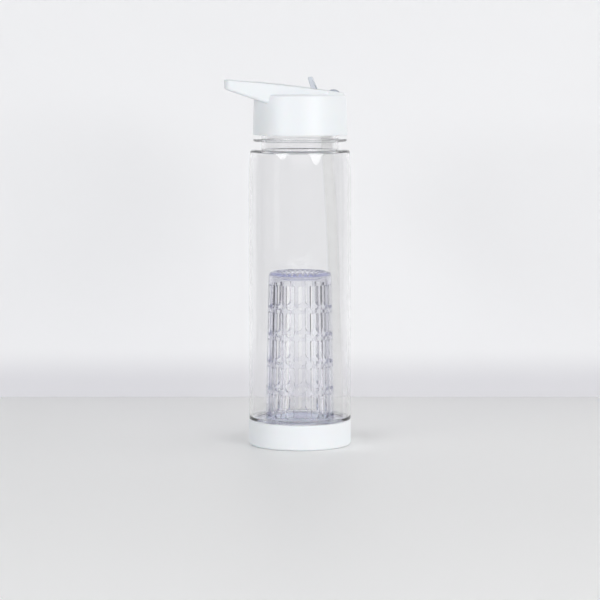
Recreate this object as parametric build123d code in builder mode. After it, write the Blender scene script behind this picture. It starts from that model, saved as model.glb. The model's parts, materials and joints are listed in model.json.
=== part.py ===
from build123d import *
from math import cos, degrees, pi, radians, sin, tan
import os

# A fruit infuser water bottle, in millimetres, with +Z up.
# The origin is the centre of the foot, and the carry loop points along -X.

# Bottle body
body_radius = 36.0
body_wall = 2.0
body_length = 190.7
body_foot_round = 1.2
shoulder_round = 3.5
neck_radius = 27.1
neck_height = 25.1
bead_overhang = 5.8
bead_height = 1.7
bead_rise = 5.8
mouth_round = 0.6

# Clearances
joint_gap = 0.3
fit_gap = 0.05
overrun = 5.0

# Screw threads
thread_pitch = 4.0
thread_depth = 1.2
thread_width = 1.3
thread_root_gap = 0.5
thread_lead_in = 2.2
thread_turns = 1.5

# Base cup
cup_height = 17.9
cup_proud = 0.2
cup_wall = 2.2
cup_floor = 2.4
cup_foot_round = 1.8
cup_rim_round = 0.5
foot_groove_radius = 25.0
foot_groove_width = 5.0
foot_groove_depth = 0.8

# Infuser basket
basket_wall = 2.0
basket_top_wall = 1.8
basket_height = 104.4
basket_taper = 2.1
basket_top_round = 3.2
basket_dish_width = 4.5
basket_dish_depth = 0.8
plug_wall = 1.6
flange_thickness = 1.6
flange_overhang = 2.6
seal_ring_thickness = 1.2
seal_ring_width = 2.2
slot_columns = 16
slot_rows = 5
slot_height = 17.2
slot_pitch = 19.2
slot_first_rise = 1.8
rib_width = 3.1
slot_foot_round = 2.8
slot_head_round = 0.8
slot_turn = 4.5

# Lid liner
liner_wall = 2.2
deck_thickness = 2.0
lid_seal_thickness = 1.5
nipple_wall = 0.95
nipple_length = 11.0
vent_radius = 1.5
vent_offset = 13.0
vent_head_radius = 4.0
vent_head_height = 1.2
vent_bulb_radius = 2.3
vent_bulb_height = 1.2

# Lid shell
lid_wall = 2.2
lid_skirt_rise = 10.3
lid_draft = 1.0
lid_top_round = 2.2
lid_rim_round = 0.5
lid_seat_width = 1.2

# Ramp and carry loop
ramp_half_width = 24.3
ramp_front_rise = 0.9
ramp_crown = 1.1
ramp_edge_round = 0.9
loop_reach = 19.5
loop_tip_rise = 10.3
loop_tip_drop = 6.7
loop_corner_round = 6.0
loop_chin_round = 2.6
loop_slope_share = 0.3346
loop_bar_width = 5.6
loop_arm_width = 5.8
loop_hole_round = 5.0

# Spout
spout_length = 16.2
spout_radius = 4.6
spout_bore_radius = 2.6
spout_lip_length = 2.2
spout_lip_proud = 0.3
spout_edge_round = 0.5
barrel_radius = 5.2
barrel_width = 12.4
pivot_cover = 1.8
pivot_pin_radius = 1.8
tab_height = 9.3
tab_thickness = 3.7
tab_width = 10.0
tab_lean = 13.7
tab_setback = 1.7
trench_end_gap = 2.0
trench_wall = 1.6
seal_pad_height = 1.0
seal_pad_overlap = 1.4
seal_crown = 0.5
seal_margin = 2.2
port_offset = 5.3
plenum_depth = 1.6

# Straw
straw_radius = 4.2
straw_wall = 0.8
straw_wall_gap = 0.65
straw_neck_gap = 2.7
straw_top_run = 14.0
straw_foot_gap = 0.8
straw_rest_drop = 11.0
straw_rest_gap = 1.1
straw_rest_angle = 25.5
straw_foot_angle = 18.3
straw_elbow_shares = (0.71, 0.56, 0.57)
straw_arc_share = 0.45

# Heights that follow from the sizes above
body_base_z = cup_height + joint_gap
shoulder_z = body_base_z + body_length
mouth_z = shoulder_z + neck_height
lid_base_z = shoulder_z + lid_skirt_rise
deck_base_z = mouth_z + joint_gap + lid_seal_thickness
deck_top_z = deck_base_z + deck_thickness
trench_base_z = deck_top_z + seal_pad_height
trench_floor_z = trench_base_z + trench_wall
pivot_z = trench_floor_z + joint_gap + barrel_radius
lid_top_z = pivot_z + pivot_cover
cup_floor_z = cup_floor
infuser_seal_z = cup_floor_z + joint_gap
flange_base_z = infuser_seal_z + seal_ring_thickness
flange_top_z = flange_base_z + flange_thickness
base_neck_end_z = flange_top_z + seal_ring_thickness + joint_gap
plug_top_z = body_base_z + joint_gap
basket_top_z = plug_top_z + basket_height
body_floor_z = body_base_z + body_wall
thread_length = thread_turns * thread_pitch
neck_thread_z = mouth_z - thread_lead_in - thread_length
base_thread_z = base_neck_end_z + thread_lead_in
half_turn = degrees(pi)

# Radii and places that follow from the sizes above
body_bore = body_radius - body_wall
neck_bore = neck_radius - body_wall
cup_radius = body_radius + cup_proud
cup_bore = cup_radius - cup_wall
base_neck_radius = cup_bore - thread_root_gap - thread_depth
base_neck_bore = base_neck_radius - body_wall
plug_radius = base_neck_bore - joint_gap
flange_radius = plug_radius + flange_overhang
basket_radius = body_bore - 2 * straw_radius - 2 * straw_wall_gap
basket_top_radius = basket_radius - basket_taper
liner_bore = neck_radius + thread_depth + thread_root_gap
liner_radius = liner_bore + liner_wall
lid_bore = liner_radius + fit_gap
lid_radius = lid_bore + lid_wall
nipple_x = neck_bore - straw_radius - straw_neck_gap
straw_bore = straw_radius - straw_wall
nipple_radius = straw_bore - fit_gap
nipple_bore = nipple_radius - nipple_wall
pivot_x = nipple_x + port_offset
trench_half_width = barrel_width / 2 + joint_gap
trench_front_x = pivot_x + barrel_radius + joint_gap
trench_back_x = pivot_x - spout_length - trench_end_gap
ramp_front_x = trench_front_x + trench_wall
loop_tip_x = -lid_radius - loop_reach


def rounded_outline(*corners):
    """A closed outline through corners of radius, height and rounding."""
    points = [(corner[0], corner[1]) for corner in corners]
    FilletPolyline(*points, radius=[corner[2] for corner in corners], close=True)


def thread_ridge(wall_radius, outward, start_z, phase):
    """One helical ridge that stands on a wall, outward or inward."""
    root = wall_radius - outward * thread_root_gap
    crest = wall_radius + outward * thread_depth
    with BuildPart(mode=Mode.PRIVATE) as ridge:
        with BuildLine() as path:
            helix = Helix(thread_pitch, thread_length, wall_radius, center=(0, 0, start_z))
        with BuildSketch(Plane(helix @ 0, x_dir=(1, 0, 0), z_dir=helix % 0)):
            with BuildLine():
                half_root = thread_width / 2 + thread_root_gap / 2
                half_crest = thread_width / 4
                Polyline(
                    (root - wall_radius, -half_root),
                    (crest - wall_radius, -half_crest),
                    (crest - wall_radius, half_crest),
                    (root - wall_radius, half_root),
                    close=True,
                )
            make_face()
        sweep(path=path.wire(), is_frenet=True)
    return ridge.part.rotate(Axis.Z, phase)


# Bottle body: barrel, upper neck with its bead, and reduced lower neck
with BuildPart() as bottle_body:
    with BuildSketch(Plane.XZ):
        with BuildLine():
            rounded_outline(
                (base_neck_bore, base_neck_end_z, mouth_round),
                (base_neck_radius, base_neck_end_z, mouth_round),
                (base_neck_radius, body_base_z, 0),
                (body_radius, body_base_z, body_foot_round),
                (body_radius, shoulder_z, shoulder_round),
                (neck_radius, shoulder_z, body_wall / 2),
                (neck_radius, mouth_z, mouth_round),
                (neck_bore, mouth_z, mouth_round),
                (neck_bore, shoulder_z - body_wall, body_wall / 2),
                (body_bore, shoulder_z - body_wall, shoulder_round / 2),
                (body_bore, body_floor_z, body_wall / 2),
                (base_neck_bore, body_floor_z, mouth_round),
            )
        make_face()
    revolve(axis=Axis.Z)
    bead_z = shoulder_z + bead_rise
    with BuildSketch(Plane.XZ):
        with BuildLine():
            rounded_outline(
                (neck_radius - body_wall / 2, bead_z, 0),
                (neck_radius + bead_overhang, bead_z, bead_height / 3),
                (neck_radius + bead_overhang, bead_z + bead_height, bead_height / 3),
                (neck_radius - body_wall / 2, bead_z + bead_height, 0),
            )
        make_face()
    revolve(axis=Axis.Z)
    add(thread_ridge(neck_radius, 1, neck_thread_z, 0))
    add(thread_ridge(base_neck_radius, 1, base_thread_z, 0))
bottle_body.part.label = "bottle_body"

# Base cup: screws up over the lower neck
with BuildPart() as base_cup:
    with BuildSketch(Plane.XZ):
        with BuildLine():
            rounded_outline(
                (0, 0, 0),
                (cup_radius, 0, cup_foot_round),
                (cup_radius, cup_height, cup_rim_round),
                (cup_bore, cup_height, cup_rim_round),
                (cup_bore, cup_floor_z, cup_rim_round),
                (0, cup_floor_z, 0),
            )
        make_face()
    revolve(axis=Axis.Z)
    with BuildSketch(Plane.XZ):
        with BuildLine():
            rounded_outline(
                (foot_groove_radius, foot_groove_depth, foot_groove_depth / 2),
                (foot_groove_radius, -overrun, 0),
                (foot_groove_radius + foot_groove_width, -overrun, 0),
                (foot_groove_radius + foot_groove_width, foot_groove_depth, foot_groove_depth / 2),
            )
        make_face()
    revolve(axis=Axis.Z, mode=Mode.SUBTRACT)
    add(thread_ridge(cup_bore, -1, base_thread_z, half_turn))
base_cup.part.label = "base_cup"

# Slots of one column of the basket, cut outward from its axis
slot_width = 2 * pi * (basket_radius + basket_top_radius) / 2 / slot_columns - rib_width
slot_first_z = plug_top_z + slot_first_rise
with BuildPart() as slot_column:
    with BuildSketch(Plane.YZ):
        for row in range(slot_rows):
            foot_z = slot_first_z + row * slot_pitch
            with BuildLine():
                rounded_outline(
                    (-slot_width / 2, foot_z, slot_foot_round),
                    (slot_width / 2, foot_z, slot_foot_round),
                    (slot_width / 2, foot_z + slot_height, slot_head_round),
                    (-slot_width / 2, foot_z + slot_height, slot_head_round),
                )
            make_face()
    extrude(amount=basket_radius + overrun)

# Infuser basket: tapered slotted basket on a plug with a clamped flange
basket_bore = basket_radius - basket_wall
basket_top_bore = basket_top_radius - basket_wall
plug_floor_z = plug_top_z - plug_wall
dish_radius = basket_top_radius - basket_top_round - basket_dish_width / 3
with BuildPart() as infuser_basket:
    with BuildSketch(Plane.XZ):
        with BuildLine():
            rounded_outline(
                (0, basket_top_z - basket_dish_depth, 0),
                (dish_radius, basket_top_z - basket_dish_depth, 0),
                (dish_radius + basket_dish_depth, basket_top_z, basket_dish_depth / 4),
                (basket_top_radius, basket_top_z, basket_top_round),
                (basket_radius, plug_top_z, basket_wall / 2),
                (plug_radius, plug_top_z, mouth_round),
                (plug_radius, flange_top_z, 0),
                (flange_radius, flange_top_z, flange_thickness / 4),
                (flange_radius, flange_base_z, flange_thickness / 4),
                (plug_radius - plug_wall, flange_base_z, flange_thickness / 4),
                (plug_radius - plug_wall, plug_floor_z, plug_wall / 2),
                (basket_bore, plug_floor_z, mouth_round),
                (basket_top_bore, basket_top_z - basket_dish_depth - basket_top_wall, basket_top_round / 3),
                (0, basket_top_z - basket_dish_depth - basket_top_wall, 0),
            )
        make_face()
    revolve(axis=Axis.Z)
    with PolarLocations(0, slot_columns, start_angle=slot_turn):
        add(slot_column.part, mode=Mode.SUBTRACT)
infuser_basket.part.label = "infuser_basket"

# Silicone rings above and below the infuser's flange
with BuildPart() as base_gasket:
    with BuildSketch(Plane.XY.offset(flange_top_z)):
        Circle(plug_radius + seal_ring_width)
        Circle(plug_radius + fit_gap, mode=Mode.SUBTRACT)
    extrude(amount=seal_ring_thickness)
base_gasket.part.label = "base_gasket"

with BuildPart() as infuser_gasket:
    with BuildSketch(Plane.XY.offset(infuser_seal_z)):
        Circle(plug_radius + seal_ring_width)
        Circle(plug_radius - plug_wall / 2, mode=Mode.SUBTRACT)
    extrude(amount=seal_ring_thickness)
infuser_gasket.part.label = "infuser_gasket"

# Lid liner: threaded skirt, deck, straw nipple and vent hole
liner_base_z = lid_base_z + lid_rim_round
with BuildPart() as lid_liner:
    with BuildSketch(Plane.XZ):
        with BuildLine():
            rounded_outline(
                (0, deck_base_z, 0),
                (liner_bore, deck_base_z, mouth_round),
                (liner_bore, liner_base_z, lid_rim_round),
                (liner_radius, liner_base_z, lid_rim_round),
                (liner_radius, deck_top_z, mouth_round),
                (0, deck_top_z, 0),
            )
        make_face()
    revolve(axis=Axis.Z)
    add(thread_ridge(liner_bore, -1, neck_thread_z, half_turn))
    with BuildSketch(Plane.XY.offset(deck_base_z)):
        with Locations((nipple_x, 0)):
            Circle(nipple_radius)
    extrude(amount=-nipple_length)
    with BuildSketch(Plane.XY.offset(deck_top_z)):
        with Locations((nipple_x, 0)):
            Circle(nipple_bore)
        with Locations((-vent_offset, 0)):
            Circle(vent_radius)
    extrude(amount=-(deck_thickness + nipple_length), mode=Mode.SUBTRACT)
lid_liner.part.label = "lid_liner"

# Lid gasket: ring that the deck presses on the bottle's mouth
with BuildPart() as lid_gasket:
    with BuildSketch(Plane.XY.offset(mouth_z + joint_gap / 2)):
        Circle(liner_bore - joint_gap)
        Circle(neck_bore, mode=Mode.SUBTRACT)
    extrude(amount=lid_seal_thickness)
lid_gasket.part.label = "lid_gasket"

# Vent valve: stem through the deck, flap above it and bulb below it
with BuildPart() as vent_valve:
    with BuildSketch(Plane.XZ):
        with BuildLine():
            rounded_outline(
                (-vent_offset, deck_base_z - vent_bulb_height, 0),
                (-vent_offset + vent_radius / 2, deck_base_z - vent_bulb_height, 0),
                (-vent_offset + vent_bulb_radius, deck_base_z, 0),
                (-vent_offset + vent_radius - fit_gap, deck_base_z, 0),
                (-vent_offset + vent_radius - fit_gap, deck_top_z, 0),
                (-vent_offset + vent_head_radius, deck_top_z, 0),
                (-vent_offset + vent_head_radius / 2, deck_top_z + vent_head_height, vent_head_height),
                (-vent_offset, deck_top_z + vent_head_height, 0),
            )
        make_face()
    revolve(axis=Axis((-vent_offset, 0, 0), (0, 0, 1)))
vent_valve.part.label = "vent_valve"

# Side outline of the ramp, which runs up into the carry loop
tip_top_z = lid_top_z + loop_tip_rise
front_top_z = lid_top_z + ramp_front_rise
chin_z = tip_top_z - loop_tip_drop
ramp_middle_x = (loop_tip_x + ramp_front_x) / 2
ramp_middle_z = (tip_top_z + front_top_z) / 2 + ramp_crown
ramp_root_x = -lid_radius / 2
ramp_root_z = chin_z - loop_slope_share * (ramp_root_x - loop_tip_x)


def ramp_top(inset):
    """The ramp's gently crowned top line, lowered by inset."""
    ThreePointArc(
        (ramp_front_x, front_top_z - inset),
        (ramp_middle_x, ramp_middle_z - inset),
        (loop_tip_x, tip_top_z - inset),
    )


# Hollow inside the cap and ramp, less the block that holds the spout's trench
lid_seat_radius = lid_bore - lid_seat_width
lid_hollow_radius = lid_seat_radius - lid_draft
lid_hollow_top_z = lid_top_z - lid_wall
trench_length = ramp_front_x - trench_back_x
trench_middle_x = (ramp_front_x + trench_back_x) / 2
with BuildPart() as lid_hollow:
    with BuildSketch(Plane.XZ):
        with BuildLine():
            ramp_top(lid_wall)
            Polyline(
                (loop_tip_x, tip_top_z - lid_wall),
                (loop_tip_x, deck_top_z),
                (ramp_front_x, deck_top_z),
                (ramp_front_x, front_top_z - lid_wall),
            )
        make_face()
    extrude(amount=ramp_half_width - lid_wall, both=True)
    with BuildSketch(Plane.XY.offset(deck_top_z)):
        Circle(lid_hollow_radius)
    extrude(amount=tip_top_z - deck_top_z, mode=Mode.INTERSECT)
    with BuildSketch(Plane.XZ):
        with BuildLine():
            rounded_outline(
                (0, lid_base_z - overrun, 0),
                (lid_bore, lid_base_z - overrun, 0),
                (lid_bore, deck_top_z + fit_gap, 0),
                (lid_seat_radius, deck_top_z + fit_gap, 0),
                (lid_hollow_radius, lid_hollow_top_z, mouth_round),
                (0, lid_hollow_top_z, 0),
            )
        make_face()
    revolve(axis=Axis.Z)
    with BuildSketch(Plane.XY.offset(trench_base_z)):
        with Locations((trench_middle_x, 0)):
            Rectangle(trench_length + 2 * trench_wall, 2 * (trench_half_width + trench_wall))
    extrude(amount=tip_top_z - trench_base_z, mode=Mode.SUBTRACT)

# Lid shell: cap, ramp, carry loop and spout trench in one moulding
seal_back_x = nipple_x - nipple_bore - seal_margin
seal_front_x = pivot_x + spout_bore_radius + seal_margin
seal_middle_x = (seal_back_x + seal_front_x) / 2
seal_half_width = spout_bore_radius + seal_margin
loop_hole_tip_x = loop_tip_x + loop_bar_width
with BuildPart() as lid_shell:
    with BuildSketch(Plane.XZ):
        with BuildLine():
            ramp_top(0)
            Polyline(
                (loop_tip_x, tip_top_z),
                (loop_tip_x, chin_z),
                (ramp_root_x, ramp_root_z),
                (ramp_front_x, ramp_root_z),
                (ramp_front_x, front_top_z),
            )
        make_face()
    extrude(amount=ramp_half_width, both=True)
    tip_corners = lid_shell.edges().filter_by(Axis.Z).group_by(Axis.X)[0]
    fillet(tip_corners, loop_corner_round)
    chin = lid_shell.edges().filter_by(Axis.Y).group_by(Axis.X)[0].sort_by(Axis.Z)[0]
    fillet(chin, loop_chin_round)
    rim = lid_shell.faces().sort_by(Axis.Z)[-1].edges().sort_by(Axis.X)[:-1]
    fillet(rim, ramp_edge_round)
    with BuildSketch(Plane.XY.offset(ramp_root_z)):
        Circle(lid_radius - lid_draft - lid_top_round / 2)
        with Locations((loop_tip_x, 0)):
            Rectangle(-2 * loop_tip_x, 2 * ramp_half_width + overrun)
    extrude(amount=tip_top_z - ramp_root_z, mode=Mode.INTERSECT)
    with BuildSketch(Plane.XZ):
        with BuildLine():
            rounded_outline(
                (0, lid_base_z, 0),
                (lid_radius, lid_base_z, lid_rim_round),
                (lid_radius - lid_draft, lid_top_z, lid_top_round),
                (0, lid_top_z, 0),
            )
        make_face()
    revolve(axis=Axis.Z)
    add(lid_hollow.part, mode=Mode.SUBTRACT)
    with BuildSketch(Plane.XY.offset(lid_base_z)):
        with BuildLine():
            FilletPolyline(
                (0, -ramp_half_width + loop_arm_width),
                (loop_hole_tip_x, -ramp_half_width + loop_arm_width),
                (loop_hole_tip_x, ramp_half_width - loop_arm_width),
                (0, ramp_half_width - loop_arm_width),
                radius=[0, loop_hole_round, loop_hole_round, 0],
                close=True,
            )
        make_face()
        Circle(lid_radius, mode=Mode.SUBTRACT)
    extrude(amount=tip_top_z - lid_base_z, mode=Mode.SUBTRACT)
    with BuildSketch(Plane.XY.offset(trench_floor_z)):
        with Locations(((trench_front_x + trench_back_x) / 2, 0)):
            Rectangle(trench_front_x - trench_back_x, 2 * trench_half_width)
    extrude(amount=tip_top_z - trench_floor_z, mode=Mode.SUBTRACT)
    with BuildSketch(Plane.XY.offset(trench_base_z)):
        with Locations((seal_middle_x, 0)):
            RectangleRounded(
                seal_front_x - seal_back_x + 2 * fit_gap,
                2 * seal_half_width + 2 * fit_gap,
                seal_margin,
            )
    extrude(amount=trench_wall, mode=Mode.SUBTRACT)
    with BuildSketch(Plane.XZ):
        with Locations((pivot_x, pivot_z)):
            Circle(pivot_pin_radius + fit_gap)
    extrude(amount=trench_half_width + trench_wall, both=True, mode=Mode.SUBTRACT)
lid_shell.part.label = "lid_shell"

# Spout: tube and thumb tab on a barrel with a pin at each end
spout_tip_x = pivot_x - spout_length
tab_foot_x = spout_tip_x + tab_setback
tab_foot_z = pivot_z + spout_radius / 2
tab_top_z = pivot_z + spout_radius + tab_height
tab_shift = (tab_top_z - tab_foot_z) * tan(radians(tab_lean))
with BuildPart() as spout:
    with BuildSketch(Plane.XZ):
        with Locations((pivot_x, pivot_z)):
            Circle(barrel_radius)
    extrude(amount=barrel_width / 2, both=True)
    fillet(spout.edges().filter_by(GeomType.CIRCLE), spout_edge_round)
    with BuildSketch(Plane.XZ):
        with Locations((pivot_x, pivot_z)):
            Circle(pivot_pin_radius)
    extrude(amount=trench_half_width + trench_wall, both=True)
    with BuildSketch(Plane.YZ.offset(spout_tip_x)):
        with Locations((0, pivot_z)):
            Circle(spout_radius)
    extrude(amount=spout_length)
    with BuildSketch(Plane.YZ.offset(spout_tip_x)):
        with Locations((0, pivot_z)):
            Circle(spout_radius + spout_lip_proud)
    extrude(amount=spout_lip_length)
    fillet(spout.faces().sort_by(Axis.X)[0].edges(), spout_edge_round)
    with BuildSketch(Plane.XZ):
        with BuildLine():
            rounded_outline(
                (tab_foot_x, tab_foot_z, 0),
                (tab_foot_x - tab_shift, tab_top_z, tab_thickness / 3),
                (tab_foot_x - tab_shift + tab_thickness, tab_top_z, tab_thickness / 3),
                (tab_foot_x + tab_thickness, tab_foot_z, 0),
            )
        make_face()
    extrude(amount=tab_width / 2, both=True)
    with BuildSketch(Plane.YZ.offset(spout_tip_x)):
        with Locations((0, pivot_z)):
            Circle(spout_bore_radius)
    extrude(amount=spout_length + barrel_radius, mode=Mode.SUBTRACT)
spout.part.label = "spout"

# Spout seal: pad under the trench, neck through its floor, and the passage
with BuildPart() as spout_seal:
    with BuildSketch(Plane.XY.offset(deck_top_z)):
        with Locations((seal_middle_x, 0)):
            RectangleRounded(
                seal_front_x - seal_back_x + 2 * seal_pad_overlap,
                2 * seal_half_width + 2 * seal_pad_overlap,
                seal_margin,
            )
        Circle(lid_seat_radius - joint_gap, mode=Mode.INTERSECT)
    extrude(amount=seal_pad_height)
    with BuildSketch(Plane.XY.offset(deck_top_z)):
        with Locations((seal_middle_x, 0)):
            RectangleRounded(seal_front_x - seal_back_x, 2 * seal_half_width, seal_margin)
        Circle(lid_seat_radius - joint_gap, mode=Mode.INTERSECT)
    extrude(amount=trench_floor_z + seal_crown - deck_top_z)
    with BuildSketch(Plane.XZ):
        with Locations((pivot_x, pivot_z)):
            Circle(barrel_radius + joint_gap)
    extrude(amount=barrel_width, both=True, mode=Mode.SUBTRACT)
    with BuildSketch(Plane.XY.offset(deck_top_z)):
        with Locations((nipple_x, 0)):
            Circle(nipple_bore)
        with Locations((pivot_x, 0)):
            Circle(nipple_bore)
        with Locations(((nipple_x + pivot_x) / 2, 0)):
            Rectangle(pivot_x - nipple_x, 2 * nipple_bore)
    extrude(amount=plenum_depth, mode=Mode.SUBTRACT)
    with BuildSketch(Plane.XY.offset(deck_top_z)):
        with Locations((pivot_x, 0)):
            Circle(spout_bore_radius)
    extrude(amount=barrel_radius, mode=Mode.SUBTRACT)
spout_seal.part.label = "spout_seal"

# Straw: from the nipple, past the basket's shoulder, to the floor beside it
straw_top_z = deck_base_z - fit_gap
straw_knee_z = straw_top_z - straw_top_run
straw_foot_z = body_floor_z + straw_foot_gap
rest_radius = basket_top_radius + straw_radius + straw_rest_gap
foot_radius = basket_radius + straw_radius + straw_wall_gap
rest_angle = radians(straw_rest_angle)
foot_angle = radians(straw_foot_angle)
straw_top = Vector(nipple_x, 0, straw_top_z)
straw_knee = Vector(nipple_x, 0, straw_knee_z)
straw_rest = Vector(
    rest_radius * cos(rest_angle),
    rest_radius * sin(rest_angle),
    basket_top_z - straw_rest_drop,
)
straw_foot = Vector(foot_radius * cos(foot_angle), foot_radius * sin(foot_angle), straw_foot_z)
out_share, back_share, drop_share = straw_elbow_shares
straw_elbow = Vector(
    nipple_x + (straw_rest.X - nipple_x) * out_share,
    straw_rest.Y * back_share,
    straw_knee_z + (straw_rest.Z - straw_knee_z) * drop_share,
)
straw_route = [straw_top, straw_knee, straw_elbow, straw_rest, straw_foot]


def bend_radius(before, corner, after):
    """The largest gentle bend that the two runs beside a corner have room for."""
    run_in = corner - before
    run_out = after - corner
    half_turn_angle = radians(run_in.get_angle(run_out)) / 2
    return straw_arc_share * min(run_in.length, run_out.length) / tan(half_turn_angle)


straw_bends = [bend_radius(*straw_route[i - 1:i + 2]) for i in range(1, len(straw_route) - 1)]
with BuildPart() as straw:
    with BuildLine() as straw_path:
        FilletPolyline(*straw_route, radius=straw_bends)
    with BuildSketch(Plane(straw_top, x_dir=(1, 0, 0), z_dir=(0, 0, -1))):
        Circle(straw_radius)
        Circle(straw_bore, mode=Mode.SUBTRACT)
    sweep(path=straw_path.wire())
straw.part.label = "straw"

parts = [
    bottle_body, base_cup, base_gasket, infuser_basket, infuser_gasket, lid_shell,
    lid_liner, lid_gasket, vent_valve, spout, spout_seal, straw,
]
os.makedirs("parts", exist_ok=True)
for piece in parts:
    export_step(piece.part, f"parts/{piece.part.label}.step")
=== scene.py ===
import bpy
import bmesh
import json
from math import pi, radians, tan
from mathutils import Matrix, Vector


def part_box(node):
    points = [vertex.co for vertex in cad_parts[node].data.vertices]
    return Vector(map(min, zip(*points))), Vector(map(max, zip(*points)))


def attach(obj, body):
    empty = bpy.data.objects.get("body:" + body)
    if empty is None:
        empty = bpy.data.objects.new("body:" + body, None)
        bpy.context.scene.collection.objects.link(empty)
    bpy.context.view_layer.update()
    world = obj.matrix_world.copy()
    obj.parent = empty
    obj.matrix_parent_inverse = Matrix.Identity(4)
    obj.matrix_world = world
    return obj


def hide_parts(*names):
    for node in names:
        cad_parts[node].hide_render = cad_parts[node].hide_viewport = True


# Clear fruit infuser bottle with a white flip-spout lid, in metres

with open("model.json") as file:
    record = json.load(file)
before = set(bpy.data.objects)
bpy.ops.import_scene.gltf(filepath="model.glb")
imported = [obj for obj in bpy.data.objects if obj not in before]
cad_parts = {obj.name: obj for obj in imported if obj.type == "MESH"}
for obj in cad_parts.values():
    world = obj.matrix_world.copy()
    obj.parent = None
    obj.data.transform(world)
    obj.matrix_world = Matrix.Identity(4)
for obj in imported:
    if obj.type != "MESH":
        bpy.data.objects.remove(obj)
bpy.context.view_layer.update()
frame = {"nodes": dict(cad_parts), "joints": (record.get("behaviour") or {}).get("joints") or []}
print("frame loaded")

# Where the pieces stand, read from the frame
bodyLow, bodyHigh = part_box("bottle_body")
basketLow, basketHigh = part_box("infuser_basket")
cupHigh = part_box("base_cup")[1]
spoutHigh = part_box("spout")[1]
flipJoint = next(joint for joint in frame["joints"] if joint["name"] == "spout_flip")
pivot = Vector(flipJoint["pos_m"])

# How finely round shapes are made
ringSteps = 192
cornerSteps = 5
longArc = 0.05              # a longer radius bends what is seen through it, so its arc is finer
longArcFactor = 6
holdingGap = 0.0006
heldLength = 4 * holdingGap
weldDistance = 1e-6
sharpAngle = 35


# Mesh helpers

def addHoldingPoints(bm):
    # a point near each end of every long run keeps its shading straight
    for edge in [item for item in bm.edges if item.calc_length() > heldLength]:
        length = edge.calc_length()
        newVert = bmesh.utils.edge_split(edge, edge.verts[0], holdingGap / length)[1]
        rest = next(item for item in newVert.link_edges if item.calc_length() > length / 2)
        bmesh.utils.edge_split(rest, newVert, (length - 2 * holdingGap) / (length - holdingGap))


def profileMesh(corners, closed=True, segments=cornerSteps):
    # corners are radius, height and rounding; a vertex bevel turns each corner into an arc
    bm = bmesh.new()
    places = [Vector((radius, 0, height)) for radius, height, rounding in corners]
    verts = [bm.verts.new(place) for place in places]
    count = len(verts)
    for i in range(count if closed else count - 1):
        bm.edges.new((verts[i], verts[(i + 1) % count]))
    for i, corner in enumerate(corners):
        rounding = corner[2]
        if rounding > 0:
            runIn = places[i] - places[i - 1]
            runOut = places[(i + 1) % count] - places[i]
            offset = rounding * tan(runIn.angle(runOut) / 2)
            arcSteps = segments * longArcFactor if rounding > longArc else segments
            bmesh.ops.bevel(bm, geom=[verts[i]], offset=offset, offset_type="OFFSET",
                            segments=arcSteps, profile=0.5, affect="VERTICES", material=-1)
    addHoldingPoints(bm)
    return bm


def latheMesh(corners, closed=True, steps=ringSteps):
    bm = profileMesh(corners, closed)
    bmesh.ops.spin(bm, geom=bm.verts[:] + bm.edges[:], cent=(0, 0, 0), axis=(0, 0, 1),
                   angle=2 * pi, steps=steps, use_merge=True)
    bmesh.ops.remove_doubles(bm, verts=bm.verts, dist=weldDistance)
    bmesh.ops.recalc_face_normals(bm, faces=bm.faces)
    return bm


def thicken(bm, vector):
    # the one flat face in bm becomes a solid
    grown = bmesh.ops.extrude_face_region(bm, geom=bm.faces[:])
    risen = [item for item in grown["geom"] if isinstance(item, bmesh.types.BMVert)]
    bmesh.ops.translate(bm, verts=risen, vec=vector)
    bmesh.ops.recalc_face_normals(bm, faces=bm.faces)


def turnRound(bm, angle):
    bmesh.ops.rotate(bm, verts=bm.verts, cent=(0, 0, 0), matrix=Matrix.Rotation(angle, 3, "Z"))


def repeatRound(bm, count):
    # copies of everything in bm, evenly spread round the bottle's axis
    bmesh.ops.spin(bm, geom=bm.verts[:] + bm.edges[:] + bm.faces[:], cent=(0, 0, 0), axis=(0, 0, 1),
                   angle=2 * pi * (1 - 1 / count), steps=count - 1, use_duplicate=True)


def newPiece(name, bm):
    mesh = bpy.data.meshes.new(name)
    bm.to_mesh(mesh)
    bm.free()
    piece = bpy.data.objects.new(name, mesh)
    bpy.context.scene.collection.objects.link(piece)
    return piece


def applyModifiers(piece):
    bpy.context.view_layer.update()
    evaluated = piece.evaluated_get(bpy.context.evaluated_depsgraph_get())
    mesh = bpy.data.meshes.new_from_object(evaluated)
    piece.modifiers.clear()
    piece.data = mesh


def carve(piece, tool, operation):
    modifier = piece.modifiers.new("carve", "BOOLEAN")
    modifier.object = tool
    modifier.operation = operation
    modifier.solver = "EXACT"
    applyModifiers(piece)
    bpy.data.objects.remove(tool)


def smooth(piece):
    mesh = piece.data
    mesh.polygons.foreach_set("use_smooth", [True] * len(mesh.polygons))
    mesh.set_sharp_from_angle(angle=radians(sharpAngle))


def coat(piece, material):
    piece.data.materials.clear()
    piece.data.materials.append(material)


def dress(piece, material, body, slot, *nodes):
    coat(piece, material)
    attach(piece, body)
    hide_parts(*nodes)


# Shader helpers

def newGroup(name, inputs, outputs):
    group = bpy.data.node_groups.new(name, "ShaderNodeTree")
    for label, kind in inputs:
        group.interface.new_socket(name=label, in_out="INPUT", socket_type=kind)
    for label, kind in outputs:
        group.interface.new_socket(name=label, in_out="OUTPUT", socket_type=kind)
    return group


# Where a Mix node keeps its two ends and its result, for numbers and for colours
mixSockets = {"FLOAT": (2, 3, 0), "RGBA": (6, 7, 2)}


def mixNode(nodes, kind):
    # gives the factor, the two ends and the result
    mix = nodes.new("ShaderNodeMix")
    mix.data_type = kind
    first, second, result = mixSockets[kind]
    return mix.inputs[0], mix.inputs[first], mix.inputs[second], mix.outputs[result]


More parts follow.
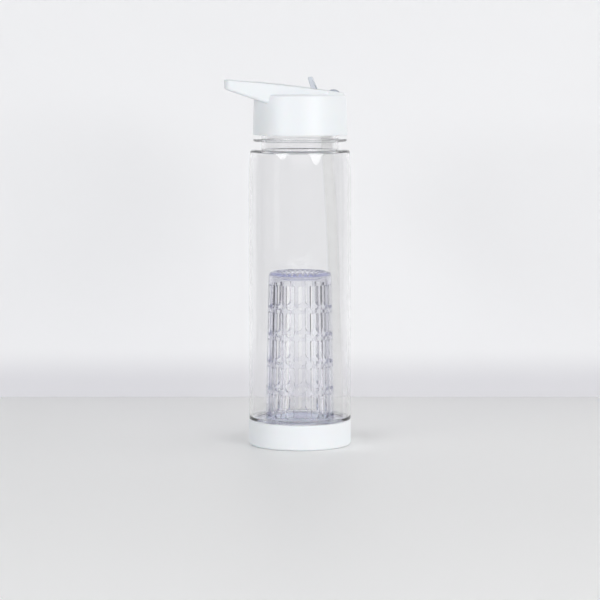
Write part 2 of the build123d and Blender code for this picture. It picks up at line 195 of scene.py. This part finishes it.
def noiseNode(nodes, links, coord, scale, detail):
    noise = nodes.new("ShaderNodeTexNoise")
    noise.inputs["Detail"].default_value = detail
    links.new(coord.outputs["Object"], noise.inputs["Vector"])
    links.new(scale, noise.inputs["Scale"])
    return noise.outputs["Fac"]


grainDetail = 2
driftDetail = 3


def mouldGrainGroup():
    # fine moulded grain, with a slow drift in height like sink marks
    group = newGroup("mouldGrain",
                     [("Grain Scale", "NodeSocketFloat"), ("Drift Scale", "NodeSocketFloat"),
                      ("Drift", "NodeSocketFloat"), ("Rough Low", "NodeSocketFloat"),
                      ("Rough High", "NodeSocketFloat")],
                     [("Height", "NodeSocketFloat"), ("Roughness", "NodeSocketFloat")])
    nodes, links = group.nodes, group.links
    inputs = nodes.new("NodeGroupInput")
    outputs = nodes.new("NodeGroupOutput")
    coord = nodes.new("ShaderNodeTexCoord")
    grain = noiseNode(nodes, links, coord, inputs.outputs["Grain Scale"], grainDetail)
    drift = noiseNode(nodes, links, coord, inputs.outputs["Drift Scale"], driftDetail)
    factor, first, second, height = mixNode(nodes, "FLOAT")
    rough = nodes.new("ShaderNodeMapRange")
    links.new(inputs.outputs["Drift"], factor)
    links.new(grain, first)
    links.new(drift, second)
    links.new(drift, rough.inputs["Value"])
    links.new(inputs.outputs["Rough Low"], rough.inputs["To Min"])
    links.new(inputs.outputs["Rough High"], rough.inputs["To Max"])
    links.new(height, outputs.inputs["Height"])
    links.new(rough.outputs["Result"], outputs.inputs["Roughness"])
    return group


def tintDriftGroup():
    # two near colours that drift into each other over the piece
    group = newGroup("tintDrift",
                     [("Scale", "NodeSocketFloat"), ("First", "NodeSocketColor"),
                      ("Second", "NodeSocketColor")],
                     [("Color", "NodeSocketColor")])
    nodes, links = group.nodes, group.links
    inputs = nodes.new("NodeGroupInput")
    outputs = nodes.new("NodeGroupOutput")
    coord = nodes.new("ShaderNodeTexCoord")
    factor, first, second, color = mixNode(nodes, "RGBA")
    links.new(noiseNode(nodes, links, coord, inputs.outputs["Scale"], driftDetail), factor)
    links.new(inputs.outputs["First"], first)
    links.new(inputs.outputs["Second"], second)
    links.new(color, outputs.inputs["Color"])
    return group


mouldGrain = mouldGrainGroup()
tintDrift = tintDriftGroup()


def openToLamps(nodes, links, shader, tint):
    # shadow rays and rays from dull surfaces pass straight through, as light does through a thin wall
    path = nodes.new("ShaderNodeLightPath")
    clear = nodes.new("ShaderNodeBsdfTransparent")
    clear.inputs["Color"].default_value = (*tint, 1)
    forDull = nodes.new("ShaderNodeMixShader")
    forLamps = nodes.new("ShaderNodeMixShader")
    links.new(path.outputs["Is Diffuse Ray"], forDull.inputs[0])
    links.new(shader.outputs["BSDF"], forDull.inputs[1])
    links.new(clear.outputs["BSDF"], forDull.inputs[2])
    links.new(path.outputs["Is Shadow Ray"], forLamps.inputs[0])
    links.new(forDull.outputs["Shader"], forLamps.inputs[1])
    links.new(clear.outputs["BSDF"], forLamps.inputs[2])
    links.new(forLamps.outputs["Shader"], nodes["Material Output"].inputs["Surface"])


def fillVolume(nodes, links, depth):
    # long paths through the plastic lose more light, which deepens the tint of ribs and rims
    inside = nodes.new("ShaderNodeVolumeAbsorption")
    inside.inputs["Color"].default_value = (*depth["color"], 1)
    inside.inputs["Density"].default_value = depth["density"]
    links.new(inside.outputs["Volume"], nodes["Material Output"].inputs["Volume"])


# Values that every finish shares
bumpDepth = 0.0002
subsurfaceScale = 0.002


def newMaterial(name, look):
    material = bpy.data.materials.new(name)
    material.use_nodes = True
    nodes, links = material.node_tree.nodes, material.node_tree.links
    shader = nodes["Principled BSDF"]
    tint = nodes.new("ShaderNodeGroup")
    tint.node_tree = tintDrift
    tint.inputs["Scale"].default_value = look["tintScale"]
    tint.inputs["First"].default_value = (*look["first"], 1)
    tint.inputs["Second"].default_value = (*look["second"], 1)
    grain = nodes.new("ShaderNodeGroup")
    grain.node_tree = mouldGrain
    grain.inputs["Grain Scale"].default_value = look["grainScale"]
    grain.inputs["Drift Scale"].default_value = look["driftScale"]
    grain.inputs["Drift"].default_value = look["drift"]
    grain.inputs["Rough Low"].default_value = look["roughness"][0]
    grain.inputs["Rough High"].default_value = look["roughness"][1]
    bump = nodes.new("ShaderNodeBump")
    bump.inputs["Strength"].default_value = look["bump"]
    bump.inputs["Distance"].default_value = bumpDepth
    links.new(tint.outputs["Color"], shader.inputs["Base Color"])
    links.new(grain.outputs["Roughness"], shader.inputs["Roughness"])
    links.new(grain.outputs["Height"], bump.inputs["Height"])
    links.new(bump.outputs["Normal"], shader.inputs["Normal"])
    if "transmission" in look:
        openToLamps(nodes, links, shader, look["lampTint"])
        fillVolume(nodes, links, look["depth"])
    shader.inputs["IOR"].default_value = look["ior"]
    shader.inputs["Transmission Weight"].default_value = look.get("transmission", 0)
    shader.inputs["Alpha"].default_value = look.get("alpha", 1)
    shader.inputs["Subsurface Weight"].default_value = look.get("subsurface", 0)
    shader.inputs["Subsurface Scale"].default_value = subsurfaceScale
    return material


whiteLook = {
    "first": (0.80, 0.83, 0.85), "second": (0.84, 0.86, 0.88), "tintScale": 20,
    "grainScale": 2600, "driftScale": 70, "drift": 0.35, "bump": 0.12,
    "roughness": (0.32, 0.46), "ior": 1.5, "subsurface": 0.08,
}
clearLook = {
    "first": (0.992, 0.991, 0.992), "second": (0.997, 0.996, 0.997), "tintScale": 15,
    "grainScale": 180, "driftScale": 35, "drift": 0.7, "bump": 0.003,
    "roughness": (0.0, 0.015), "ior": 1.5, "transmission": 1.0, "lampTint": (0.98, 0.98, 0.985),
    "depth": {"color": (0.50, 0.48, 0.62), "density": 1.5},
}
basketLook = {
    "first": (0.90, 0.90, 0.92), "second": (0.925, 0.925, 0.94), "tintScale": 30,
    "grainScale": 220, "driftScale": 50, "drift": 0.6, "bump": 0.02,
    "roughness": (0.0, 0.02), "ior": 1.5, "transmission": 1.0, "lampTint": (0.98, 0.98, 0.985),
    "depth": {"color": (0.42, 0.46, 0.88), "density": 20},
}
spoutLook = {
    "first": (0.86, 0.89, 0.95), "second": (0.90, 0.92, 0.96), "tintScale": 60,
    "grainScale": 400, "driftScale": 120, "drift": 0.6, "bump": 0.08,
    "roughness": (0.03, 0.10), "ior": 1.49, "transmission": 1.0, "lampTint": (0.96, 0.96, 0.98),
    "depth": {"color": (0.50, 0.56, 0.62), "density": 36},
}
strawLook = {
    "first": (0.74, 0.74, 0.71), "second": (0.80, 0.80, 0.78), "tintScale": 40,
    "grainScale": 900, "driftScale": 90, "drift": 0.5, "bump": 0.05,
    "roughness": (0.25, 0.35), "ior": 1.45, "alpha": 0.12,
}
siliconeLook = {
    "first": (0.78, 0.79, 0.81), "second": (0.84, 0.85, 0.86), "tintScale": 80,
    "grainScale": 3000, "driftScale": 150, "drift": 0.3, "bump": 0.2,
    "roughness": (0.5, 0.65), "ior": 1.41, "subsurface": 0.2,
}
whitePlastic = newMaterial("whitePlastic", whiteLook)
clearPlastic = newMaterial("clearPlastic", clearLook)
basketPlastic = newMaterial("basketPlastic", basketLook)
spoutPlastic = newMaterial("spoutPlastic", spoutLook)
strawPlastic = newMaterial("strawPlastic", strawLook)
silicone = newMaterial("silicone", siliconeLook)
print("materials made")

# Screw thread, the same on both necks and in the base cup
thread = {
    "pitch": 0.004, "turns": 1.5, "depth": 0.0012, "rootWidth": 0.0018, "crestWidth": 0.0007,
    "sink": 0.0004, "steps": 72, "leadIn": 0.0022,
}


def threadMesh(wallRadius, outward, startZ, phase):
    # one helical ridge: a four-sided section carried round and up by spin
    bm = bmesh.new()
    root = wallRadius - outward * thread["sink"]
    crest = wallRadius + outward * thread["depth"]
    half = thread["rootWidth"] / 2
    tip = thread["crestWidth"] / 2
    section = [(root, 0, -half), (crest, 0, -tip), (crest, 0, tip), (root, 0, half)]
    face = bm.faces.new([bm.verts.new(place) for place in section])
    bmesh.ops.spin(bm, geom=[face] + face.verts[:] + face.edges[:], cent=(0, 0, 0),
                   axis=(0, 0, 1), dvec=(0, 0, thread["pitch"] / thread["steps"]),
                   angle=2 * pi * thread["turns"], steps=int(thread["turns"] * thread["steps"]))
    turnRound(bm, phase)
    bmesh.ops.translate(bm, verts=bm.verts, vec=(0, 0, startZ))
    bmesh.ops.remove_doubles(bm, verts=bm.verts, dist=weldDistance)
    bmesh.ops.recalc_face_normals(bm, faces=bm.faces)
    return bm


# Bottle body
bottle = {
    "wall": 0.002, "foot": 0.0182, "footRound": 0.0006, "shoulder": 0.2089,
    "shoulderRound": 0.002, "innerRound": 0.0006,
    "crownHeight": 0.012, "crownAngle": 5, "crownRound": 0.21,
    "neckRadius": 0.0271, "neckRound": 0.0004, "lowerNeckRadius": 0.0323, "lipRound": 0.0006,
    "beadRise": 0.0058, "beadHeight": 0.0017, "beadOverhang": 0.0058, "beadRound": 0.0007,
}


def buildBottle():
    wall = bottle["wall"]
    radius = bodyHigh.x
    bore = radius - wall
    neck = bottle["neckRadius"]
    lower = bottle["lowerNeckRadius"]
    lowerBore = lower - wall
    foot = bottle["foot"]
    floor = foot + wall
    shoulder = bottle["shoulder"]
    crownFoot = shoulder - bottle["crownHeight"]
    crownInset = bottle["crownHeight"] * tan(radians(bottle["crownAngle"]))
    lip = bottle["lipRound"]
    bead = neck + bottle["beadOverhang"]
    beadFoot = shoulder + bottle["beadRise"]
    beadTop = beadFoot + bottle["beadHeight"]
    beadRoot = bottle["beadRound"] / 2
    bm = latheMesh([
        (lowerBore, bodyLow.z, lip),
        (lower, bodyLow.z, lip),
        (lower, foot, 0),
        (radius, foot, bottle["footRound"]),
        (radius, crownFoot, bottle["crownRound"]),
        (radius - crownInset, shoulder, bottle["shoulderRound"]),
        (neck, shoulder, bottle["neckRound"]),
        (neck, beadFoot, beadRoot),
        (bead, beadFoot, bottle["beadRound"]),
        (bead, beadTop, bottle["beadRound"]),
        (neck, beadTop, beadRoot),
        (neck, bodyHigh.z, lip),
        (neck - wall, bodyHigh.z, lip),
        (neck - wall, shoulder - wall, bottle["neckRound"]),
        (bore - crownInset, shoulder - wall, bottle["innerRound"]),
        (bore, crownFoot, bottle["crownRound"]),
        (bore, floor, bottle["neckRound"]),
        (lowerBore, floor, lip),
    ])
    piece = newPiece("bottleBody", bm)
    neckStart = bodyHigh.z - thread["leadIn"] - thread["turns"] * thread["pitch"]
    baseStart = bodyLow.z + thread["leadIn"]
    carve(piece, newPiece("neckThread", threadMesh(neck, 1, neckStart, 0)), "UNION")
    carve(piece, newPiece("lowerThread", threadMesh(lower, 1, baseStart, 0)), "UNION")
    smooth(piece)
    dress(piece, clearPlastic, "bottle", "clear_body", "bottle_body")


buildBottle()
print("bottle body made")

# Base cup
cup = {
    "wall": 0.0022, "floor": 0.0024, "footRound": 0.0018, "rimRound": 0.0005,
    "grooveRadius": 0.025, "grooveWidth": 0.005, "grooveDepth": 0.0008, "grooveRound": 0.0004,
}


def buildCup():
    radius = cupHigh.x
    bore = radius - cup["wall"]
    inner = cup["grooveRadius"]
    outer = inner + cup["grooveWidth"]
    depth = cup["grooveDepth"]
    grooveEdge = cup["grooveRound"] / 2
    bm = latheMesh([
        (0, 0, 0),
        (inner, 0, grooveEdge),
        (inner, depth, cup["grooveRound"]),
        (outer, depth, cup["grooveRound"]),
        (outer, 0, grooveEdge),
        (radius, 0, cup["footRound"]),
        (radius, cupHigh.z, cup["rimRound"]),
        (bore, cupHigh.z, cup["rimRound"]),
        (bore, cup["floor"], cup["rimRound"]),
        (0, cup["floor"], 0),
    ], closed=False)
    piece = newPiece("baseCup", bm)
    start = bodyLow.z + thread["leadIn"]
    carve(piece, newPiece("cupThread", threadMesh(bore, -1, start, pi)), "UNION")
    smooth(piece)
    dress(piece, whitePlastic, "base", "white_shell", "base_cup")


buildCup()
print("base cup made")

# Infuser basket
basket = {
    "wall": 0.002, "topWall": 0.0018, "footRadius": 0.0243, "topRadius": 0.0222,
    "topRound": 0.0032, "cornerRound": 0.0006,
    "dishDepth": 0.0033, "dishRim": 0.0004, "dishSlope": 0.0042,
    "flutes": 30, "fluteRadius": 0.0015, "fluteSides": 12, "fluteRings": 8,
    "plugWall": 0.0016, "plugRadius": 0.030, "plugTop": 0.0185, "flange": 0.0016,
    "columns": 16, "rows": 5, "slotHeight": 0.0172, "slotPitch": 0.0192, "slotRise": 0.0018,
    "slotWidth": 0.00603, "slotFootRound": 0.0028, "slotHeadRound": 0.0008, "slotSteps": 4,
    "slotStart": 0.0193, "slotEnd": 0.0265, "slotTurn": 4.5,
}


def slotCutters():
    # every column's slots as radial prisms, rounded at the foot
    bm = bmesh.new()
    half = basket["slotWidth"] / 2
    footRound = basket["slotFootRound"]
    headRound = basket["slotHeadRound"]
    for row in range(basket["rows"]):
        foot = basket["plugTop"] + basket["slotRise"] + row * basket["slotPitch"]
        head = foot + basket["slotHeight"]
        corners = [(-half, foot, footRound), (half, foot, footRound),
                   (half, head, headRound), (-half, head, headRound)]
        outline = profileMesh(corners, segments=basket["slotSteps"])
        bmesh.ops.contextual_create(outline, geom=outline.edges[:])
        # stand the outline across the X axis, at the start of the cut
        turnRound(outline, pi / 2)
        bmesh.ops.translate(outline, verts=outline.verts, vec=(basket["slotStart"], 0, 0))
        thicken(outline, (basket["slotEnd"] - basket["slotStart"], 0, 0))
        holder = bpy.data.meshes.new("slot")
        outline.to_mesh(holder)
        outline.free()
        bm.from_mesh(holder)
        bpy.data.meshes.remove(holder)
    repeatRound(bm, basket["columns"])
    turnRound(bm, radians(basket["slotTurn"]))
    return bm


def fluteCutters(radius, height):
    # a ring of small hollows down the slope of the dish
    bm = bmesh.new()
    bmesh.ops.create_uvsphere(bm, u_segments=basket["fluteSides"], v_segments=basket["fluteRings"],
                              radius=basket["fluteRadius"])
    bmesh.ops.translate(bm, verts=bm.verts, vec=(radius, 0, height))
    repeatRound(bm, basket["flutes"])
    return bm


def buildBasket():
    plug = basket["plugRadius"]
    plugBore = plug - basket["plugWall"]
    plugTop = basket["plugTop"]
    plugFloor = plugTop - basket["plugWall"]
    foot = basket["footRadius"]
    top = basket["topRadius"]
    flangeTop = basketLow.z + basket["flange"]
    dishTop = top - basket["topRound"] - basket["dishRim"]
    dish = dishTop - basket["dishSlope"]
    dishZ = basketHigh.z - basket["dishDepth"]
    ceiling = dishZ - basket["topWall"]
    corner = basket["cornerRound"]
    edge = corner / 2
    bm = latheMesh([
        (0, dishZ, 0),
        (dish, dishZ, edge),
        (dishTop, basketHigh.z, edge),
        (top, basketHigh.z, basket["topRound"]),
        (foot, plugTop, basket["wall"] / 2),
        (plug, plugTop, corner),
        (plug, flangeTop, 0),
        (basketHigh.x, flangeTop, edge),
        (basketHigh.x, basketLow.z, edge),
        (plugBore, basketLow.z, edge),
        (plugBore, plugFloor, corner),
        (foot - basket["wall"], plugFloor, corner),
        (top - basket["wall"], basketHigh.z - basket["topWall"] - corner, corner),
        (dish, ceiling, corner),
        (0, ceiling, 0),
    ], closed=False)
    piece = newPiece("infuserBasket", bm)
    carve(piece, newPiece("slots", slotCutters()), "DIFFERENCE")
    flutes = fluteCutters((dish + dishTop) / 2, (dishZ + basketHigh.z) / 2)
    carve(piece, newPiece("flutes", flutes), "DIFFERENCE")
    smooth(piece)
    dress(piece, basketPlastic, "infuser", "tinted_basket", "infuser_basket")


buildBasket()
print("infuser basket made")

# Flip spout
spout = {
    "length": 0.0162, "radius": 0.0046, "bore": 0.0026, "lipLength": 0.0022, "lipProud": 0.0003,
    "edgeRound": 0.0005, "steps": 64,
    "barrelRadius": 0.0052, "barrelWidth": 0.0124, "pinRadius": 0.0018, "pinRound": 0.0003,
    "tabHeight": 0.0093, "tabThickness": 0.0035, "tabFlare": 0.0012, "tabWidth": 0.010,
    "tabLean": 18.5, "tabSetback": 0.0017, "tabRound": 0.0012, "tabEdge": 0.0007, "tabSteps": 3,
}


def barAlong(corners, axis):
    # a turned bar whose axis passes through the hinge, lying along X or across along Y
    bm = latheMesh(corners, closed=False, steps=spout["steps"])
    turn = Matrix.Rotation(-pi / 2, 3, "Y") if axis == "X" else Matrix.Rotation(pi / 2, 3, "X")
    bmesh.ops.rotate(bm, verts=bm.verts, cent=(0, 0, 0), matrix=turn)
    bmesh.ops.translate(bm, verts=bm.verts, vec=pivot)
    return bm


def tabMesh():
    # the thumb tab stands in the tube's wall and leans back over the mouth of the spout
    foot = pivot.z + spout["radius"] / 2
    top = pivot.z + spout["radius"] + spout["tabHeight"]
    back = pivot.x - spout["length"] + spout["tabSetback"]
    shift = (top - foot) * tan(radians(spout["tabLean"]))
    thick = spout["tabThickness"]
    bm = profileMesh([
        (back, foot, 0),
        (back - shift, top, spout["tabRound"]),
        (back - shift + thick, top, spout["tabRound"]),
        (back + thick + spout["tabFlare"], foot, 0),
    ])
    bmesh.ops.contextual_create(bm, geom=bm.edges[:])
    bmesh.ops.translate(bm, verts=bm.verts, vec=(0, -spout["tabWidth"] / 2, 0))
    thicken(bm, (0, spout["tabWidth"], 0))
    rims = [edge for edge in bm.edges if abs(edge.verts[0].co.y - edge.verts[1].co.y) < weldDistance]
    bmesh.ops.bevel(bm, geom=rims, offset=spout["tabEdge"], offset_type="OFFSET",
                    segments=spout["tabSteps"], profile=0.5, affect="EDGES", material=-1)
    return bm


def buildSpout():
    radius = spout["radius"]
    length = spout["length"]
    lip = radius + spout["lipProud"]
    lipStart = length - spout["lipLength"]
    rounding = spout["edgeRound"]
    stepRound = rounding / 3
    half = spout["barrelWidth"] / 2
    barrel = spout["barrelRadius"]
    pin = spout["pinRadius"]
    pinRound = spout["pinRound"]
    reach = spoutHigh.y
    holeStart = -2 * barrel
    holeEnd = 2 * length
    body = [(0, -half, 0), (barrel, -half, rounding), (barrel, half, rounding), (0, half, 0)]
    tube = [(0, 0, 0), (radius, 0, 0), (radius, lipStart, stepRound), (lip, lipStart, stepRound),
            (lip, length, rounding), (0, length, 0)]
    pins = [(0, -reach, 0), (pin, -reach, pinRound), (pin, reach, pinRound), (0, reach, 0)]
    hole = [(0, holeStart, 0), (spout["bore"], holeStart, 0), (spout["bore"], holeEnd, 0),
            (0, holeEnd, 0)]
    piece = newPiece("flipSpout", barAlong(body, "Y"))
    carve(piece, newPiece("tube", barAlong(tube, "X")), "UNION")
    carve(piece, newPiece("pins", barAlong(pins, "Y")), "UNION")
    carve(piece, newPiece("tab", tabMesh()), "UNION")
    carve(piece, newPiece("hole", barAlong(hole, "X")), "DIFFERENCE")
    smooth(piece)
    dress(piece, spoutPlastic, "spout", "clear_spout", "spout")


buildSpout()
print("spout made")

# The cap, its liner, the straw and the seals keep their CAD shapes
finishes = {
    "lid_shell": whitePlastic, "lid_liner": whitePlastic, "straw": strawPlastic,
    "base_gasket": silicone, "infuser_gasket": silicone, "lid_gasket": silicone,
    "vent_valve": silicone, "spout_seal": silicone,
}
for node, finish in finishes.items():
    coat(frame["nodes"][node], finish)
print("cap, straw and seals finished")

# Camera, level with the bottle's lid and looking slightly down
view = {"distance": 1.679, "height": 0.2658, "pitch": 5.554, "lens": 143.0}
cameraData = bpy.data.cameras.new("camera")
cameraData.lens = view["lens"]
camera = bpy.data.objects.new("camera", cameraData)
camera.location = (0, -view["distance"], view["height"])
camera.rotation_euler = (radians(90 - view["pitch"]), 0, 0)
bpy.context.scene.collection.objects.link(camera)
bpy.context.scene.camera = camera

# Pale table and backdrop with painted shade towards their sides, which draws the edges of the clear
# plastic
stage = {
    "left": -0.78, "right": 0.6, "front": -1.6, "wallY": 0.24, "top": 0.75,
    "sideShadeStart": 0.40, "sideShadeEnd": 0.58,
}
tableLook = {
    "axis": "Y", "fadeStart": -0.15, "fadeEnd": stage["wallY"],
    "first": (0.93, 0.93, 0.925), "second": (0.85, 0.85, 0.845), "paintedSideShade": (0.42, 0.42, 0.43),
    "roughness": 0.45,
}
# the backdrop's first colour is a painted shadow along its foot, where it meets the table
backdropLook = {
    "axis": "Z", "fadeStart": 0.01, "fadeEnd": 0.042,
    "first": (0.72, 0.715, 0.74), "second": (0.865, 0.865, 0.875), "paintedSideShade": (0.10, 0.10, 0.12),
    "roughness": 0.9,
}


def fadeColor(nodes, links, source, start, end, first, second):
    # one colour gives way to the other as source goes from start to end
    fade = nodes.new("ShaderNodeMapRange")
    fade.interpolation_type = "SMOOTHSTEP"
    fade.inputs["From Min"].default_value = start
    fade.inputs["From Max"].default_value = end
    factor, firstEnd, secondEnd, color = mixNode(nodes, "RGBA")
    secondEnd.default_value = (*second, 1)
    links.new(source, fade.inputs["Value"])
    links.new(fade.outputs["Result"], factor)
    if isinstance(first, tuple):
        firstEnd.default_value = (*first, 1)
    else:
        links.new(first, firstEnd)
    return color


def stageMaterial(name, look):
    # one colour fades into the other along one axis, and both give way to painted shade at the sides
    material = bpy.data.materials.new(name)
    material.use_nodes = True
    nodes, links = material.node_tree.nodes, material.node_tree.links
    shader = nodes["Principled BSDF"]
    coord = nodes.new("ShaderNodeTexCoord")
    split = nodes.new("ShaderNodeSeparateXYZ")
    aside = nodes.new("ShaderNodeMath")
    aside.operation = "ABSOLUTE"
    links.new(coord.outputs["Object"], split.inputs["Vector"])
    links.new(split.outputs["X"], aside.inputs[0])
    along = fadeColor(nodes, links, split.outputs[look["axis"]], look["fadeStart"], look["fadeEnd"],
                      look["first"], look["second"])
    # painted shade: the colour darkens towards both sides, standing in for less light falling there
    color = fadeColor(nodes, links, aside.outputs["Value"], stage["sideShadeStart"], stage["sideShadeEnd"],
                      along, look["paintedSideShade"])
    links.new(color, shader.inputs["Base Color"])
    shader.inputs["Roughness"].default_value = look["roughness"]
    # seen from behind, it lets the camera look through to the bottle
    surface = nodes.new("ShaderNodeNewGeometry")
    clear = nodes.new("ShaderNodeBsdfTransparent")
    oneSided = nodes.new("ShaderNodeMixShader")
    links.new(surface.outputs["Backfacing"], oneSided.inputs[0])
    links.new(shader.outputs["BSDF"], oneSided.inputs[1])
    links.new(clear.outputs["BSDF"], oneSided.inputs[2])
    links.new(oneSided.outputs["Shader"], nodes["Material Output"].inputs["Surface"])
    return material


def flatPiece(name, corners, material):
    bm = bmesh.new()
    bm.faces.new([bm.verts.new(corner) for corner in corners])
    piece = newPiece(name, bm)
    piece.data.materials.append(material)
    return piece


def buildStage():
    left = stage["left"]
    right = stage["right"]
    front = stage["front"]
    back = stage["wallY"]
    top = stage["top"]
    flatPiece("floor", [(left, front, 0), (right, front, 0), (right, back, 0), (left, back, 0)],
              stageMaterial("paleTable", tableLook))
    flatPiece("wall", [(left, back, 0), (right, back, 0), (right, back, top), (left, back, top)],
              stageMaterial("paleBackdrop", backdropLook))


buildStage()

# Lamps, all turned towards the bottle
lamps = {
    "keyLight": {"place": (1.0, -1.35, 0.73), "target": (0, 0, 0.14), "size": (1.2, 0.9),
                 "power": 13.6, "color": (1.0, 1.0, 1.0), "shape": "ELLIPSE", "mirrored": True},
    "fillLight": {"place": (-1.15, -1.25, 0.74), "target": (0, 0, 0.14), "size": (1.3, 0.8),
                  "power": 15.0, "color": (0.98, 0.99, 1.0), "shape": "ELLIPSE", "mirrored": True},
    "sideLight": {"place": (1.5, 0.1, 0.35), "target": (0, 0, 0.14), "size": (1.0, 0.7),
                  "power": 6.0, "color": (1.0, 1.0, 1.0), "shape": "RECTANGLE", "mirrored": False},
    "stripLight": {"place": (-1.36, -1.02, 0.5), "target": (0, 0, 0.2), "size": (0.42, 1.0),
                   "power": 0.95, "color": (1.0, 1.0, 1.0), "shape": "RECTANGLE", "mirrored": True},
}


def softLight(name, lamp):
    data = bpy.data.lights.new(name, "AREA")
    data.shape = lamp["shape"]
    data.size, data.size_y = lamp["size"]
    data.energy = lamp["power"]
    data.color = lamp["color"]
    light = bpy.data.objects.new(name, data)
    light.location = lamp["place"]
    aim = Vector(lamp["target"]) - Vector(lamp["place"])
    light.rotation_euler = aim.to_track_quat("-Z", "Y").to_euler()
    light.visible_transmission = False      # a lamp seen through many walls only sparkles
    light.visible_glossy = lamp["mirrored"]
    light.visible_camera = False
    bpy.context.scene.collection.objects.link(light)


for name, lamp in lamps.items():
    softLight(name, lamp)

# Room light along X: dim on the left, pale in the middle and on the right
room = {
    "strength": 0.51,
    "stops": ((0.0, (0.20, 0.20, 0.21)), (0.3, (0.11, 0.11, 0.12)), (0.55, (0.60, 0.60, 0.61)),
              (0.85, (0.8, 0.8, 0.8)), (1.0, (0.5, 0.5, 0.5))),
}


def roomLight():
    world = bpy.data.worlds.new("studio")
    world.use_nodes = True
    nodes, links = world.node_tree.nodes, world.node_tree.links
    background = nodes["Background"]
    coord = nodes.new("ShaderNodeTexCoord")
    split = nodes.new("ShaderNodeSeparateXYZ")
    along = nodes.new("ShaderNodeMapRange")
    along.inputs["From Min"].default_value = -1         # a direction's X runs from -1 to 1
    ramp = nodes.new("ShaderNodeValToRGB")
    stops = ramp.color_ramp.elements
    while len(stops) < len(room["stops"]):
        stops.new(0.5)                                  # anywhere, as every stop is placed below
    for stop, (place, color) in zip(stops, room["stops"]):
        stop.position = place
        stop.color = (*color, 1)
    links.new(coord.outputs["Generated"], split.inputs["Vector"])
    links.new(split.outputs["X"], along.inputs["Value"])
    links.new(along.outputs["Result"], ramp.inputs["Fac"])
    links.new(ramp.outputs["Color"], background.inputs["Color"])
    background.inputs["Strength"].default_value = room["strength"]
    bpy.context.scene.world = world


roomLight()

bpy.context.scene.view_settings.view_transform = "Standard"

# Light has to pass through many clear walls before it reaches the backdrop
cycles = bpy.context.scene.cycles
cycles.max_bounces = 32
cycles.transmission_bounces = 32
cycles.glossy_bounces = 16
cycles.transparent_max_bounces = 48
print("stage made")
